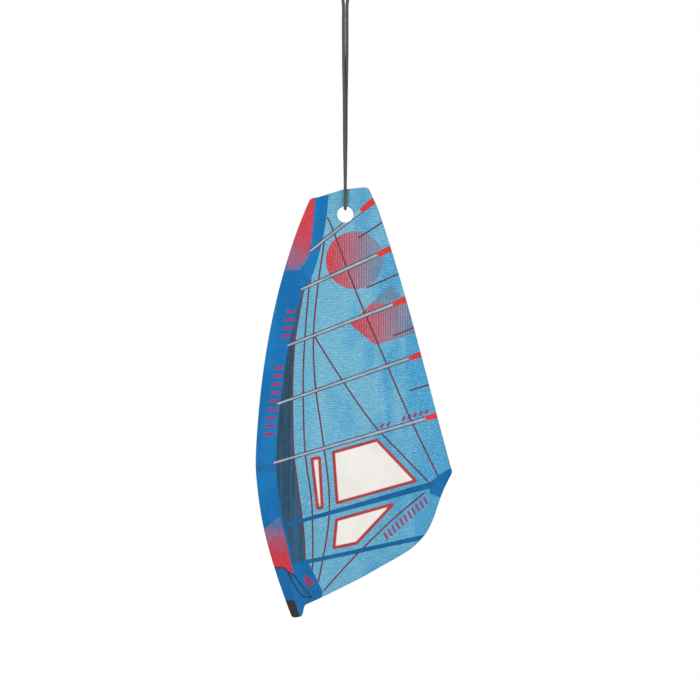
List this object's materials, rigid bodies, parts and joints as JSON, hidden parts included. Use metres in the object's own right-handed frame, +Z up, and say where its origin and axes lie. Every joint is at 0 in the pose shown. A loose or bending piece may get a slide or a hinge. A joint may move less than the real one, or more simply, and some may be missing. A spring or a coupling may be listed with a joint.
{
  "type": "hanging card air freshener",
  "caption": "Flat pulp-board card die-cut and printed as a windsurf sail, hung from a doubled black elastic cord through a punched hole.",
  "frame": {"origin": "top inside bend of the cord's eye, where the hook that holds the card bears", "axes": "+Z up along the hanging cord; +X to the right as the front is seen, from the sail's luff towards its clew; the printed front faces -Y"},
  "size_m": [0.0599, 0.0046, 0.2106],
  "materials": {
    "board": "matte, fibrous pulp board, unprinted",
    "black_ink": "matte print on fibrous board",
    "batten_ink": "matte print on fibrous board",
    "red_ink": "matte print on fibrous board",
    "deep_blue_ink": "matte print on fibrous board",
    "magenta_ink": "matte print on fibrous board",
    "seam_ink": "matte print on fibrous board",
    "halftone_ink": "matte print, fine red lines over blue that thin out to the right",
    "fade_ink": "matte print, red that fades into purple and blue",
    "slate_ink": "matte print on fibrous board",
    "sail_ink": "matte print with a fine woven grain on fibrous board",
    "elastic": "braided elastic cord, slight sheen"
  },
  "bodies": {
    "hanger": {"cord_knot": "elastic", "cord_tails": "elastic", "cord_crown": "elastic"},
    "eye": {"cord_eye": "elastic"},
    "upper_cord": {"cord_upper": "elastic"},
    "lower_cord": {"cord_lower": "elastic"},
    "card": {"card_board": "board", "print_mast_foot": "black_ink", "print_downhaul_line": "black_ink", "print_battens": "batten_ink", "print_batten_tips": "red_ink", "print_straps": "deep_blue_ink", "print_tack_mark": "magenta_ink", "print_corner_patches": "deep_blue_ink", "print_window_frames": "red_ink", "print_seams": "seam_ink", "print_dashes": "magenta_ink", "print_halftone": "halftone_ink", "print_red_fades": "fade_ink", "print_luff_sleeve": "deep_blue_ink", "print_shade_panel": "slate_ink", "print_sail_film": "sail_ink"}
  },
  "joints": [
    {"name": "side_swing", "type": "hinge", "parent": "hanger", "child": "eye", "pos_m": [0, 0, -0.002], "axis": [0, 1, 0], "range_deg": [-35, 35]},
    {"name": "front_swing", "type": "hinge", "parent": "eye", "child": "upper_cord", "pos_m": [0, 0, -0.014], "axis": [1, 0, 0], "range_deg": [-35, 35]},
    {"name": "cord_twist", "type": "hinge", "parent": "upper_cord", "child": "lower_cord", "pos_m": [0, 0, -0.0398], "axis": [0, 0, 1], "range_deg": [-90, 90]},
    {"name": "card_rock", "type": "hinge", "parent": "lower_cord", "child": "card", "pos_m": [0, 0, -0.0742], "axis": [0, 1, 0], "range_deg": [-20, 20]}
  ]
}
